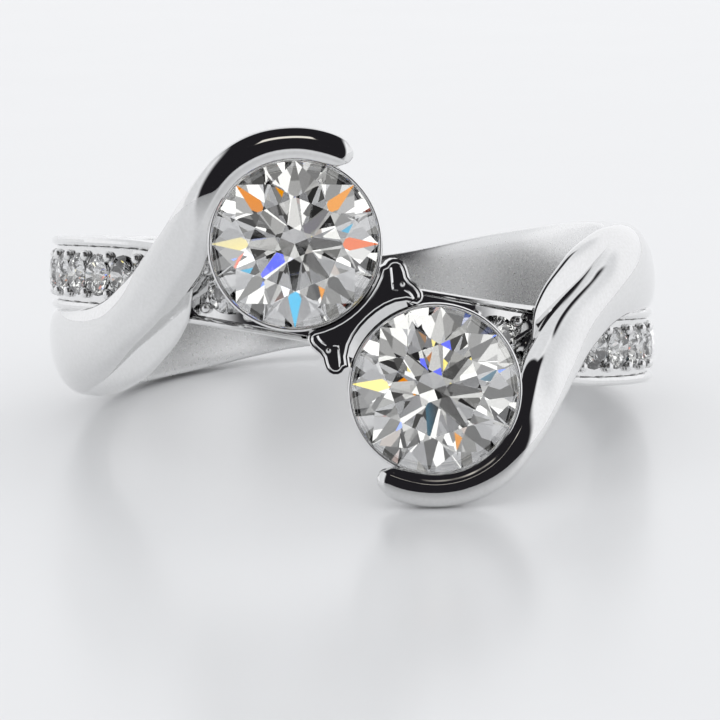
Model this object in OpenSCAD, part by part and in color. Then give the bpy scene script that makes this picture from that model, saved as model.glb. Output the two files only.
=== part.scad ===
// Twist ring: two round stones side by side, each held by a thin round bezel and half wrapped by a
// polished ribbon. The ribbons leave a plain shank at the two shoulders and cross over a narrow band
// of small stones. The ring is drawn upright round the Z axis, its stones towards -Y, and is then
// laid down as it rests. Its right side is its left side given half a turn about the Y axis.

/* [Finger hole] */
// Inside diameter of the ring
finger_d = 16.7; // [16.4:0.1:17.0]

/* [Main stones] */
// Girdle diameter of each main stone
stone_d = 5.15; // [5.05:0.01:5.18]
// Height of the main stones' girdles over the finger axis
girdle_h = 11.1; // [11.0:0.05:11.2]
// Thickness of a bezel's wall at the rim
bezel_wall = 0.13; // [0.10:0.01:0.16]
// How far a bezel's rim stands over the girdle
bezel_lip = 0.25; // [0.15:0.05:0.30]

/* [Small stones] */
// Girdle diameter of each small stone
melee_d = 1.36; // [1.2:0.01:1.4]
// Angle from one small stone to the next
melee_pitch = 8.3; // [8.2:0.05:8.5]

/* [Shank] */
// Width of the shank opposite the stones
shank_w = 3.1; // [3.0:0.1:3.5]
// Outer radius of the shank opposite the stones
shank_r = 9.8; // [9.7:0.05:10.0]

/* [Hidden] */
melee_count = 9;
SIDES = ["left", "right"];

finger_r = finger_d / 2;
stone_r = stone_d / 2;
melee_r = melee_d / 2;
// Middle of the upper main stone, sideways and along the finger axis
stone_at = [-2.16, 2.25];
// Room left between a stone and the metal round it
fit_gap = 0.03;
// Radii that the shank's and the band's sections reach down to, inside the finger hole
shank_core_r = finger_r - 0.5;
band_core_r = finger_r - 0.7;

// Cut of a round brilliant, as parts of the girdle's radius
crown_angle = 34.5;
pavilion_angle = 40.75;
table_part = 0.56;
star_part = 0.77;
lower_part = 0.24;
girdle_part = 0.035;

// Angle of the small stone beside the bezel, and of the next one, beyond the ribbon
melee_first = 25.3;
melee_second = 41.1;
// Depth of a small stone's girdle under the rails, and how far its seat is open above and below
melee_sink = 0.15;
seat_top = 0.29;
seat_foot = -2.4;
// Radii of the azure, the flared hole under a small stone, at its mouth and at its throat
azure_mouth_r = 0.48;
azure_throat_r = 0.34;
// Rails along the band's two edges
rail_w = 0.32;
rail_h = 0.18;
rail_bevel = 0.14;
// Beads that hold the small stones: radius, distance from the band's middle and height over the girdles
bead_r = 0.19;
bead_side = 0.56;
bead_rise = 0.04;

// How the ring lies: on its shank and its lower ribbon, the stones' side a little raised
rest_lean = -10.92;
rest_roll = 1.12;
rest_shift = [0, 1.386, 3.722];

// Shank from opposite the stones to the left shoulder, then on as the strand under the ribbon.
// Columns: angle from the stones, upper edge, lower edge, outer radius, drop at the edges
shank_rows = [
    [180, shank_w / 2, -shank_w / 2, shank_r, 0.45],
    [168, 1.74, -1.72, 9.82, 0.45],
    [156, 1.97, -2.06, 9.87, 0.45],
    [144, 2.20, -2.42, 9.93, 0.45],
    [132, 2.36, -2.66, 10.02, 0.45],
    [120, 2.38, -2.83, 10.05, 0.42],
    [108, 2.15, -2.92, 10.06, 0.42],
    [96, 1.10, -2.94, 10.06, 0.45],
    [84, 0.45, -2.93, 10.04, 0.45],
    [73, 0.38, -2.90, 10.02, 0.42],
    [64, 0.35, -2.82, 10.00, 0.36],
    [57, 0.42, -2.68, 10.00, 0.30],
    [50, 0.60, -2.38, 10.00, 0.25],
    [45, 0.78, -2.00, 9.98, 0.22],
    [41.5, 0.92, -1.50, 9.96, 0.20],
    [38, 1.10, -0.96, 9.93, 0.18],
    [35.7, 1.25, -0.45, 9.90, 0.16],
    [34, 1.42, 0.10, 9.88, 0.14],
    [33, 1.60, 0.70, 9.86, 0.12],
];

// Band of small stones, from under the main stones round the left shoulder into the shank.
// Columns: angle from the stones, upper edge, lower edge, outer radius
band_rows = [
    [0, 1.02, -1.02, 9.75],
    [6, 1.20, -0.95, 9.80],
    [12, 1.40, -0.80, 9.88],
    [20, 1.68, -0.58, 10.00],
    [28, 1.95, -0.38, 10.10],
    [36, 2.18, -0.22, 10.15],
    [46, 2.35, -0.08, 10.15],
    [58, 2.42, -0.02, 10.15],
    [72, 2.44, 0.00, 10.15],
    [86, 2.44, 0.00, 10.15],
    [98, 2.44, 0.00, 10.12],
    [106, 2.43, 0.05, 10.10],
    [115, 2.40, 0.30, 9.98],
    [125, 2.20, 0.60, 9.55],
];

// Left ribbon's top face, from the shank to its tip: its outer edge and the edge by the stone.
// Columns: outer x, height over the finger axis, z, inner x, height, z, wall, crown, toe
ribbon_rows = [
    [-6.38, -7.33, -0.40, -6.36, -7.31, -2.20, 1.2, 0.15, 0.0],
    [-8.78, -4.67, -0.20, -8.65, -4.60, -2.58, 1.3, 0.28, 0.0],
    [-9.95, -1.22, -0.12, -9.75, -1.20, -2.85, 1.3, 0.34, 0.0],
    [-9.88, 1.75, -0.10, -9.68, 1.71, -2.88, 1.3, 0.36, 0.0],
    [-9.30, 4.00, -0.12, -9.05, 4.25, -2.70, 1.3, 0.36, 0.0],
    [-8.60, 5.50, -0.02, -8.20, 5.95, -2.00, 1.2, 0.32, 0.0],
    [-8.05, 6.50, 0.32, -7.55, 6.95, -1.25, 1.1, 0.28, 0.0],
    [-7.65, 7.20, 0.74, -6.98, 7.65, -0.68, 1.1, 0.25, 0.0],
    [-7.25, 7.90, 1.25, -6.40, 8.30, -0.08, 1.2, 0.23, 0.0],
    [-6.88, 8.58, 1.82, -5.92, 8.90, 0.66, 1.3, 0.22, 0.1],
    [-6.52, 9.25, 2.38, -5.52, 9.60, 1.30, 1.4, 0.22, 0.2],
    [-6.20, 9.85, 2.94, -5.26, 10.35, 2.10, 1.5, 0.22, 0.3],
    [-5.86, 10.45, 3.52, -5.10, 10.90, 2.85, 1.6, 0.22, 0.3],
    [-5.44, 10.95, 4.12, -4.78, 11.25, 3.60, 1.6, 0.22, 0.3],
    [-4.80, 11.20, 4.85, -4.28, 11.42, 4.30, 1.6, 0.22, 0.3],
    [-4.02, 11.28, 5.42, -3.65, 11.48, 4.78, 1.5, 0.22, 0.3],
    [-3.12, 11.30, 5.80, -2.93, 11.50, 5.08, 1.4, 0.22, 0.3],
    [-2.10, 11.30, 5.93, -2.12, 11.50, 5.18, 1.3, 0.22, 0.3],
    [-1.20, 11.30, 5.80, -1.39, 11.50, 5.08, 1.2, 0.20, 0.3],
    [-0.55, 11.24, 5.54, -0.88, 11.46, 4.90, 1.1, 0.16, 0.3],
    [-0.36, 11.16, 5.32, -0.66, 11.38, 4.84, 1.0, 0.10, 0.2],
];

// Section of a ribbon between its two edges. Columns: part of the width, part of the crown
ribbon_dome = [
    [0, 0],
    [0.06, 0.50],
    [0.18, 0.85],
    [0.34, 1],
    [0.58, 1],
    [0.82, 0.80],
    [0.95, 0.45],
    [1, 0.1],
];
// How far a ribbon's outer wall slants in, and how deep its inner edge drops and slants
outer_slant = 0.10;
inner_drop = 0.1;
inner_slope = 0.6;

// Section of the shank, columns the same
shank_dome = [
    [1, 0],
    [0.9, 0.5],
    [0.74, 0.85],
    [0.5, 1],
    [0.26, 0.85],
    [0.1, 0.5],
    [0, 0],
];

// Outline of a bezel's section. Columns: radius, height over the girdle
bezel_rows = [
    [1.3, -1.6],
    [1.3, -0.8],
    [stone_r - 0.55, -0.8],
    [stone_r + bezel_wall - 0.03, bezel_lip],
    [stone_r + bezel_wall, bezel_lip - 0.05],
    [stone_r + bezel_wall, -0.4],
    [stone_r - 0.05, -1.1],
    [stone_r - 0.30, -1.6],
    [stone_r - 0.55, -1.6],
];

// Bar between the bezels: the lobes at its upper right end. Columns: x, z, radius
bar_lobes = [
    [1.02, 1.50, 0.36],
    [1.48, 0.76, 0.37],
    [0.56, 1.66, 0.12],
];
// Flat between the lobes and the bar's middle. Columns: x, z
bar_web = [
    [-0.6, 0.6],
    [0.45, 1.6],
    [1.25, 1.3],
    [1.6, 0.5],
    [0.6, -0.6],
];
bar_top = 11.42;
bar_foot = 9.4;
bar_waist = 0.60;
// The dish along the bar's top: its radius, its depth and the bar's length
dish_r = 6.35;
dish_depth = 0.15;
bar_l = 6;

// A smooth curve through the rows of a table, t counting the rows from 0
function smooth(rows, t) =
    let (
        last = len(rows) - 1,
        i = min(floor(t), last - 1),
        f = t - i,
        a = rows[max(i - 1, 0)],
        b = rows[i],
        c = rows[i + 1],
        d = rows[min(i + 2, last)]
    )
    b + 0.5 * f * (c - a + f * (2 * a - 5 * b + 4 * c - d + f * (3 * b - a - 3 * c + d)));

// The rows of a table with steps - 1 more between each two
function finer(rows, steps) =
    [for (k = [0 : steps * (len(rows) - 1)]) smooth(rows, k / steps)];

// Value of a column of a table at an angle, the angles being its first column
function column_at(rows, angle, column) =
    lookup(angle, [for (row = rows) [row[0], row[column]]]);

function unit(v) = v / norm(v);

// A point at an angle from the stones to the left about the finger, a radius and a height z
function about_finger(angle, r, z) = [-r * sin(angle), -r * cos(angle), z];

// A solid skinned over rings of points, its two ends closed
module skin(rings) {
    n = len(rings[0]);
    last = len(rings) - 1;
    sides = [
        for (k = [0 : last - 1])
            for (i = [0 : n - 1])
                let (j = (i + 1) % n)
                    [k * n + i, (k + 1) * n + i, (k + 1) * n + j, k * n + j]
    ];
    polyhedron(
        points = [for (ring = rings) for (p = ring) p],
        faces = concat(
            [[for (i = [0 : n - 1]) i]],
            [for (f = sides) [f[0], f[1], f[2]]],
            [for (f = sides) [f[0], f[2], f[3]]],
            [[for (i = [n - 1 : -1 : 0]) last * n + i]]
        ),
        convexity = 10
    );
}

// Section across the shank: down to the core, with a low dome outside
function shank_section(row) =
    let (w = row[1] - row[2])
    concat(
        [about_finger(row[0], shank_core_r, row[1])],
        [for (d = shank_dome) about_finger(row[0], row[3] - row[4] * (1 - d[1]), row[2] + w * d[0])],
        [about_finger(row[0], shank_core_r, row[2])]
    );

module half_shank() {
    skin([for (row = finer(shank_rows, 2)) shank_section(row)]);
}

// Section across the band of small stones: two rails with a channel between them
function band_section(row) =
    let (high = row[1], low = row[2], r = row[3])
    [for (p = [
        [band_core_r, high],
        [r - rail_bevel, high],
        [r, high - 0.6 * rail_bevel],
        [r, high - rail_w],
        [r - rail_h, high - rail_w - 0.04],
        [r - rail_h, low + rail_w + 0.04],
        [r, low + rail_w],
        [r, low + 0.6 * rail_bevel],
        [r - rail_bevel, low],
        [band_core_r, low],
    ]) about_finger(row[0], p[0], p[1])];

// The band's two sides are one skin, so that it runs unbroken under the stones
module stone_band() {
    left = [for (row = finer(band_rows, 2)) band_section(row)];
    last = len(left) - 1;
    corners = len(left[0]);
    right = [
        for (ring = left)
            [for (i = [corners - 1 : -1 : 0]) [-ring[i][0], ring[i][1], -ring[i][2]]]
    ];
    skin(concat([for (k = [last : -1 : 0]) left[k]], [for (k = [1 : last]) right[k]]));
}

// Section across a ribbon: a dome between its edges, and walls down to the ring below
function ribbon_section(row, along) =
    let (
        outer = [row[0], -row[1], row[2]],
        inner = [row[3], -row[4], row[5]],
        across = inner - outer,
        up = unit(cross(across, along)),
        inward = row[8] * unit(across)
    )
    concat(
        [outer + outer_slant * across - row[6] * up],
        [for (d = ribbon_dome) outer + d[0] * across + d[1] * row[7] * up],
        [
            inner + inward - (inner_drop + inner_slope * row[8]) * up,
            inner + inward - row[6] * up,
        ]
    );

module left_ribbon() {
    rows = finer(ribbon_rows, 2);
    last = len(rows) - 1;
    middle = [for (row = rows) [row[0] + row[3], -row[1] - row[4], row[2] + row[5]] / 2];
    skin([for (k = [0 : last])
        ribbon_section(rows[k], middle[min(k + 1, last)] - middle[max(k - 1, 0)])]);
}

// Turns what is drawn upright on the XY plane to stand on the upper main stone's line
module on_upper_stone() {
    translate([stone_at[0], -girdle_h, stone_at[1]]) rotate([90, 0, 0]) children();
}

module bezel() {
    on_upper_stone() rotate_extrude($fn = 48) polygon(bezel_rows);
}

// Room for a main stone: a cone under its girdle, and a rim that closes in a little over it
module stone_room() {
    wide = stone_r + fit_gap;
    top = bezel_lip + 0.2;
    on_upper_stone()
        rotate_extrude($fn = 48)
            polygon([
                [0, -wide * tan(pavilion_angle) - fit_gap],
                [wide, -fit_gap],
                [wide, girdle_part * stone_r + fit_gap],
                [stone_r - 0.10, top],
                [0, top],
            ]);
}

// Bar between the bezels: a waist between two pairs of lobes, its top dished along its length
module bar() {
    rotate([90, 0, 0])
        difference() {
            translate([0, 0, bar_foot])
                linear_extrude(height = bar_top - bar_foot)
                    difference() {
                        for (turn = [0, 180])
                            rotate(turn) {
                                polygon(bar_web);
                                for (lobe = bar_lobes)
                                    translate([lobe[0], lobe[1]]) circle(r = lobe[2], $fn = 16);
                            }
                        for (turn = [1, -1])
                            translate(turn * stone_at)
                                circle(r = norm(stone_at) - bar_waist / 2, $fn = 48);
                    }
            rotate([0, 0, -45])
                translate([0, 0, bar_top + dish_r - dish_depth])
                    rotate([0, 90, 0])
                        cylinder(r = dish_r, h = bar_l, center = true, $fn = 60);
        }
}

// Angle of a small stone, its height along the finger axis and its girdle's radius about the finger
function melee_angle(i) = i == 1 ? melee_first : melee_second + (i - 2) * melee_pitch;
function melee_z(angle) =
    (column_at(band_rows, angle, 1) + column_at(band_rows, angle, 2)) / 2;
function melee_rise(angle) = column_at(band_rows, angle, 3) - melee_sink;

// Turns what stands on the XY plane to stand on the left band at an angle, at radius r
module on_band(angle, r, z) {
    translate(about_finger(angle, r, z)) rotate([90, 0, -angle]) children();
}

// Seat of a small stone, open to the finger hole through its azure
module melee_room(i) {
    angle = melee_angle(i);
    wide = melee_r + fit_gap;
    on_band(angle, melee_rise(angle), melee_z(angle))
        rotate_extrude($fn = 10)
            polygon([
                [0, seat_foot],
                [azure_mouth_r, seat_foot],
                [azure_throat_r, -wide * tan(pavilion_angle)],
                [wide, -fit_gap],
                [wide, seat_top],
                [0, seat_top],
            ]);
}

// Beads that hold the small stones, four round each one
module left_beads() {
    for (i = [1 : melee_count])
        for (turn = (i == 1) ? [-0.5, 0.5] : [0.5])
            for (edge = [-bead_side, bead_side]) {
                angle = melee_angle(i) + turn * melee_pitch;
                on_band(angle, melee_rise(angle) + bead_rise, melee_z(angle) + edge)
                    sphere(r = bead_r, $fn = 6);
            }
}

module both_sides() {
    children();
    rotate([0, 180, 0]) children();
}

module ring_body() {
    color([0.82, 0.83, 0.85])
        difference() {
            resize([0, 0, 0])
                difference() {
                    union() {
                        stone_band();
                        bar();
                        both_sides() {
                            half_shank();
                            left_ribbon();
                            bezel();
                            left_beads();
                        }
                    }
                    both_sides() {
                        stone_room();
                        for (i = [1 : melee_count]) melee_room(i);
                    }
                }
            cylinder(r = finger_r, h = 30, center = true, $fn = 96);
        }
}

// Round brilliant of girdle radius r, girdle on the XY plane, table up
module brilliant(r) {
    crown = (1 - table_part) * tan(crown_angle) + girdle_part;
    star = (1 - star_part * cos(22.5)) * tan(crown_angle) + girdle_part;
    lower = -(1 - lower_part * cos(22.5)) * tan(pavilion_angle);
    culet = -tan(pavilion_angle);
    function round_points(part, z, count, start) =
        [
            for (k = [0 : count - 1])
                let (a = start + k * 360 / count)
                    [part * cos(a), part * sin(a), z]
        ];
    points = r * concat(
        round_points(table_part, crown, 8, 0),
        round_points(star_part, star, 8, 22.5),
        round_points(1, girdle_part, 16, 0),
        round_points(1, 0, 16, 0),
        round_points(lower_part, lower, 8, 22.5),
        [[0, 0, culet]]
    );
    faces = concat(
        [[for (k = [7 : -1 : 0]) k]],
        [for (k = [0 : 7]) [k, (k + 1) % 8, 8 + k]],
        [for (k = [0 : 7]) [k, 8 + k, 16 + 2 * k]],
        [for (k = [0 : 7]) [k, 16 + 2 * k, 8 + (k + 7) % 8]],
        [for (k = [0 : 7]) [8 + k, 17 + 2 * k, 16 + 2 * k]],
        [for (k = [0 : 7]) [8 + k, 16 + (2 * k + 2) % 16, 17 + 2 * k]],
        [for (k = [0 : 15]) [16 + k, 16 + (k + 1) % 16, 32 + (k + 1) % 16, 32 + k]],
        [for (k = [0 : 7]) [32 + 2 * k, 33 + 2 * k, 48 + k]],
        [for (k = [0 : 7]) [33 + 2 * k, 32 + (2 * k + 2) % 16, 48 + k]],
        [for (k = [0 : 7]) [32 + 2 * k, 48 + k, 56]],
        [for (k = [0 : 7]) [32 + 2 * k, 56, 48 + (k + 7) % 8]]
    );
    polyhedron(points = points, faces = faces);
}

module stone_upper() {
    color([0.9, 0.93, 0.97]) on_upper_stone() brilliant(stone_r);
}

module stone_lower() {
    rotate([0, 180, 0]) stone_upper();
}

module melee(side, i) {
    angle = melee_angle(i);
    color([0.9, 0.93, 0.97])
        rotate([0, side == "left" ? 0 : 180, 0])
            on_band(angle, melee_rise(angle), melee_z(angle)) brilliant(melee_r);
}

// Lays what is drawn upright down as it rests
module rested() {
    translate(rest_shift) rotate([rest_lean, rest_roll, 0]) children();
}

rested() {
    ring_body();
    stone_upper();
    stone_lower();
    for (side = SIDES)
        for (i = [1 : melee_count])
            melee(side, i);
}
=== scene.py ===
# %% [markdown]
# # A twist ring in polished white metal
# The ring is one casting with twenty stones in it. Two round brilliants sit side by side in thin
# bezels. A ribbon of metal leaves the plain shank at each shoulder, crosses a narrow band of small
# stones and wraps half round its brilliant. The solids were made first, in another program. They
# are loaded here as a fixed frame, and every piece modelled below stands in for one of them.

import math

import bmesh
import bpy
from mathutils import Matrix, Vector


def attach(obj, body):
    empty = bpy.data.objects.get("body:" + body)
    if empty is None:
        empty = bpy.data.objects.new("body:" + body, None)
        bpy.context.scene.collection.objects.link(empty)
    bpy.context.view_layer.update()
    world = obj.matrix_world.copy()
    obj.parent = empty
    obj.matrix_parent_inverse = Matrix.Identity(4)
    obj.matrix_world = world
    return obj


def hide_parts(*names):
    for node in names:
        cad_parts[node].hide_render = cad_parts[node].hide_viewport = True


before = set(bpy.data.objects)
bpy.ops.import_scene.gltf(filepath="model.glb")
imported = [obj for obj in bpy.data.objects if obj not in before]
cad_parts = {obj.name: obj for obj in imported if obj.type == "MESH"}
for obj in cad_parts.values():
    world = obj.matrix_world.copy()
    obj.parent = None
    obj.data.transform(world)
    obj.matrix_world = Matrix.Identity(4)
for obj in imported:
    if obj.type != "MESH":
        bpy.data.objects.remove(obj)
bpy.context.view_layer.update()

# %% [markdown]
# ## Where the ring stands
# A jeweller draws a ring upright round its finger axis, so all sizes here are in millimetres in
# that frame: Z is the finger axis and the stones face -Y. A single matrix then lays each finished
# piece down the way the ring rests on a table. The ring's right side is its left side given half a
# turn about the Y axis, so each side piece is made once and copied with that turn.

# %% The resting pose and the half turn
FINGER_R = 8.35
# the upper stone: where its middle lies in x and z, how far forward its girdle lies, its radius
STONE_AT = (-2.16, 2.25)
GIRDLE_H = 11.1
STONE_R = 2.575
LEAN, ROLL, SHIFT = -10.92, 1.12, (0.0, 1.386, 3.722)
REST = (
    Matrix.Scale(0.001, 4)
    @ Matrix.Translation(SHIFT)
    @ Matrix.Rotation(math.radians(ROLL), 4, "Y")
    @ Matrix.Rotation(math.radians(LEAN), 4, "X")
)
HALF_TURN = Matrix.Rotation(math.pi, 4, "Y")
print("finger axis after laying down:", tuple(round(v, 3) for v in (REST.to_3x3() @ Vector((0, 0, 1000)))))


# %% Points round the finger
def about_finger(angle, r, z):
    """The point at an angle in degrees from the stones to the left, a radius and a height z."""
    a = math.radians(angle)
    return Vector((-r * math.sin(a), -r * math.cos(a), z))


def on_stone_line(x, height, z):
    """A point given by its height over the finger axis towards the stones."""
    return Vector((x, -height, z))


print("a point on the shank's left shoulder:", tuple(round(v, 2) for v in about_finger(90, 10, 0)))


# %% [markdown]
# ## Polished white gold
# A mirror polish is a metal with very little roughness, and its look comes from what stands round
# it. A real polish is never quite even: the buff leaves faint waves and some finer haze. One node
# group makes that unevenness, as a roughness and a height, and each metal takes it with its own
# strength. The pattern reads Object coordinates in metres, so its scale is large. Wiring nodes one
# socket at a time takes many lines, so a few helpers that add and fill in a node come first.

# %% Helpers for nodes
def fill(node, inputs):
    """Links or sets a node's inputs, given as socket: value, and returns its outputs."""
    for socket, value in inputs.items():
        if isinstance(value, bpy.types.NodeSocket):
            node.id_data.links.new(value, node.inputs[socket])
        else:
            node.inputs[socket].default_value = value
    return node.outputs


def add(tree, kind, inputs=None, **settings):
    """Adds a node of a kind with its settings and inputs, and returns its outputs."""
    node = tree.nodes.new(kind)
    for key, value in settings.items():
        setattr(node, key, value)
    return fill(node, inputs or {})


def ramp(tree, value, stops, kind="LINEAR"):
    """The colour at a value on a ramp whose stops are given as position and colour."""
    node = tree.nodes.new("ShaderNodeValToRGB")
    node.color_ramp.interpolation = kind
    while len(node.color_ramp.elements) < len(stops):
        node.color_ramp.elements.new(1.0)
    for element, (position, colour) in zip(node.color_ramp.elements, stops):
        element.position = position
        element.color = (*colour, 1)
    return fill(node, {"Fac": value})["Color"]


def new_material(name):
    """A new material with its node tree and its shader."""
    material = bpy.data.materials.new(name)
    material.use_nodes = True
    return material, material.node_tree, material.node_tree.nodes["Principled BSDF"]


print("node helpers ready")

# %% A node group for the buffed surface
BUFFED_INPUTS = {"Wave Scale": 900.0, "Haze Scale": 9000.0, "Least Roughness": 0.02, "Most Roughness": 0.06}
buffed = bpy.data.node_groups.new("buffed_surface", "ShaderNodeTree")
buffed.interface.new_socket(name="Coordinates", in_out="INPUT", socket_type="NodeSocketVector")
for name, usual in BUFFED_INPUTS.items():
    socket = buffed.interface.new_socket(name=name, in_out="INPUT", socket_type="NodeSocketFloat")
    socket.default_value = usual
for name in ("Roughness", "Height", "Tone"):
    buffed.interface.new_socket(name=name, in_out="OUTPUT", socket_type="NodeSocketFloat")
given = add(buffed, "NodeGroupInput")
waves = {"Vector": given["Coordinates"], "Scale": given["Wave Scale"], "Detail": 1.0}
waves = add(buffed, "ShaderNodeTexNoise", waves)["Fac"]
haze = {"Vector": given["Coordinates"], "Scale": given["Haze Scale"], "Detail": 3.0}
haze = add(buffed, "ShaderNodeTexNoise", haze)["Fac"]
# noise seldom leaves this span, so the span covers all of the roughness and of the tones
NOISE_LOW, NOISE_HIGH = 0.3, 0.7
roughness = {
    "Value": haze,
    "From Min": NOISE_LOW,
    "From Max": NOISE_HIGH,
    "To Min": given["Least Roughness"],
    "To Max": given["Most Roughness"],
}
roughness = add(buffed, "ShaderNodeMapRange", roughness)["Result"]
add(buffed, "NodeGroupOutput", {"Roughness": roughness, "Height": waves, "Tone": haze})
print("group", buffed.name, "puts out", [s.name for s in buffed.interface.items_tree if s.in_out == "OUTPUT"])

# %% Metals from the group
WAVE_HEIGHT = 0.00002


def polished_metal(name, dark, light, least, most, bump):
    """A polished metal: its two tones, its least and most roughness and its waviness."""
    material, tree, shader = new_material(name)
    coords = add(tree, "ShaderNodeTexCoord")["Object"]
    sockets = {"Coordinates": coords, "Least Roughness": least, "Most Roughness": most}
    surface = add(tree, "ShaderNodeGroup", sockets, node_tree=buffed)
    tone = ramp(tree, surface["Tone"], [(NOISE_LOW, dark), (NOISE_HIGH, light)])
    relief = {"Strength": bump, "Distance": WAVE_HEIGHT, "Height": surface["Height"]}
    normal = add(tree, "ShaderNodeBump", relief)["Normal"]
    fill(shader, {"Metallic": 1.0, "Base Color": tone, "Roughness": surface["Roughness"], "Normal": normal})
    return material


white_gold = polished_metal("white_gold_polished", (0.78, 0.78, 0.775), (0.83, 0.83, 0.83), 0.015, 0.05, 0.20)
bright_cut = polished_metal("white_gold_bright_cut", (0.82, 0.82, 0.82), (0.9, 0.9, 0.9), 0.01, 0.04, 0.15)
satin = polished_metal("white_gold_satin", (0.86, 0.86, 0.86), (0.90, 0.90, 0.895), 0.24, 0.28, 0.05)
print("metals:", white_gold.name, bright_cut.name, satin.name)


# %% [markdown]
# ## From a drawn outline to a piece
# The ribbons and the shank change section all along, as a jeweller's wax does. Each is drawn as an
# outline of a few points and extruded from one section to the next, with the new points moved to
# where the next row of its table says. A subdivision surface then rounds it, as filing does. That
# keeps the long edges clean, and a row can be moved by hand without touching the rest.

# %% Extrude an outline from section to section
def neighbours(run, closed=True):
    """Each vertex of a run with the next one, and the last with the first if the run is closed."""
    return list(zip(run, run[1:] + run[: int(closed)]))


def edges_of(bm, run, closed=True):
    """The edges along a run of vertices."""
    return [bm.edges.get(pair) for pair in neighbours(run, closed)]


def draw_outline(bm, points, closed=True):
    """A run of edges through the points."""
    run = [bm.verts.new(p) for p in points]
    for pair in neighbours(run, closed):
        bm.edges.new(pair)
    return run


def extrude_to(bm, run, points, closed=True):
    """Extrudes the edges along a run and moves the new vertices to where points says."""
    made = bmesh.ops.extrude_edge_only(bm, edges=edges_of(bm, run, closed))
    fresh = set(g for g in made["geom"] if isinstance(g, bmesh.types.BMVert))
    twins = [next(e.other_vert(v) for e in v.link_edges if e.other_vert(v) in fresh) for v in run]
    for twin, point in zip(twins, points):
        twin.co = point
    return twins


def close_outline(bm, ring, shrink=0.6):
    """Closes an end with a smaller face inside a rim, so that the end stays crisp when smoothed."""
    face = bmesh.ops.contextual_create(bm, geom=edges_of(bm, ring))["faces"][0]
    middle = sum((v.co for v in ring), Vector()) / len(ring)
    bmesh.ops.inset_region(bm, faces=[face], thickness=0.02, use_even_offset=False)
    for v in face.verts:
        v.co = middle.lerp(v.co, shrink)


def sweep(sections):
    """A closed bmesh that runs through a list of sections, each a list of as many points."""
    bm = bmesh.new()
    first = ring = draw_outline(bm, sections[0])
    for section in sections[1:]:
        ring = extrude_to(bm, ring, section)
    close_outline(bm, first)
    close_outline(bm, ring)
    bmesh.ops.recalc_face_normals(bm, faces=bm.faces)
    return bm


print("outline helpers ready")


# %% Hand a finished piece over
def new_object(name, data):
    """A new object in the scene."""
    obj = bpy.data.objects.new(name, data)
    bpy.context.scene.collection.objects.link(obj)
    return obj


def hand_over(bm, name, material, slot, nodes, levels=0, turned=False, smooth=True, sharp=None, inside=0.0):
    """Lays a piece down at rest, makes it an object under the root and hides the parts of the frame that it
    stands for.

    Faces that lie wholly closer to the finger axis than inside are left satin.
    """
    for face in bm.faces:
        if all(v.co.xy.length < inside for v in face.verts):
            face.material_index = 1
    if turned:
        bm.transform(HALF_TURN)
    bm.transform(REST)
    bmesh.ops.recalc_face_normals(bm, faces=bm.faces)
    mesh = bpy.data.meshes.new(name)
    bm.to_mesh(mesh)
    bm.free()
    mesh.polygons.foreach_set("use_smooth", [smooth] * len(mesh.polygons))
    piece = new_object(name, mesh)
    piece.data.materials.append(material)
    if inside:
        piece.data.materials.append(satin)
    if levels:
        rounding = piece.modifiers.new("rounding", "SUBSURF")
        rounding.levels = levels
        rounding.render_levels = levels
    if sharp is not None:
        mesh.set_sharp_from_angle(angle=math.radians(sharp))
    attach(piece, "root")
    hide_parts(*nodes)
    print(name, "faces", len(mesh.polygons))


def hand_over_metal(bm, name, metal, **options):
    """Hands over a piece of the casting, which is a single solid in the frame."""
    hand_over(bm, name, metal, "white_gold", ["ring_body"], **options)


print("ready to hand pieces over")


# %% [markdown]
# ## Tables that run smoothly
# A table gives a section at a few places only. Between them the values follow a smooth curve
# through the rows, the same kind that an animator's timeline uses.

# %% Values between the rows of a table
SECTIONS_TO_A_ROW = 2


def between(rows, t):
    """The row at place t of a table, on a smooth curve through the rows."""
    last = len(rows) - 1
    i = min(int(t), last - 1)
    f = t - i
    a, b, c, d = rows[max(i - 1, 0)], rows[i], rows[i + 1], rows[min(i + 2, last)]
    return [
        q + 0.5 * f * (r - p + f * (2 * p - 5 * q + 4 * r - s + f * (3 * q - p - 3 * r + s)))
        for p, q, r, s in zip(a, b, c, d)
    ]


def at_angle(rows, angle):
    """The row of a table at an angle, the rows running by angle in their first column."""
    for i in range(len(rows) - 1):
        if angle <= rows[i + 1][0]:
            f = (angle - rows[i][0]) / (rows[i + 1][0] - rows[i][0])
            return between(rows, i + max(f, 0.0))
    return rows[-1]


def filled_in(rows):
    """All rows of a table with the smooth ones between them."""
    return [between(rows, k / SECTIONS_TO_A_ROW) for k in range(SECTIONS_TO_A_ROW * (len(rows) - 1) + 1)]


print("sections to a row of a table:", SECTIONS_TO_A_ROW)

# %% [markdown]
# ## The shank
# The shank is plain and widest at the shoulders. On each side it runs on under the ribbon as a
# narrower strand that climbs to the bezel. One sweep makes it from the tip of the left strand,
# round behind the finger, to the tip of the right strand. Its section is a bore wall that meets
# the finger and a low dome outside, with a rounded edge between them.

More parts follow.
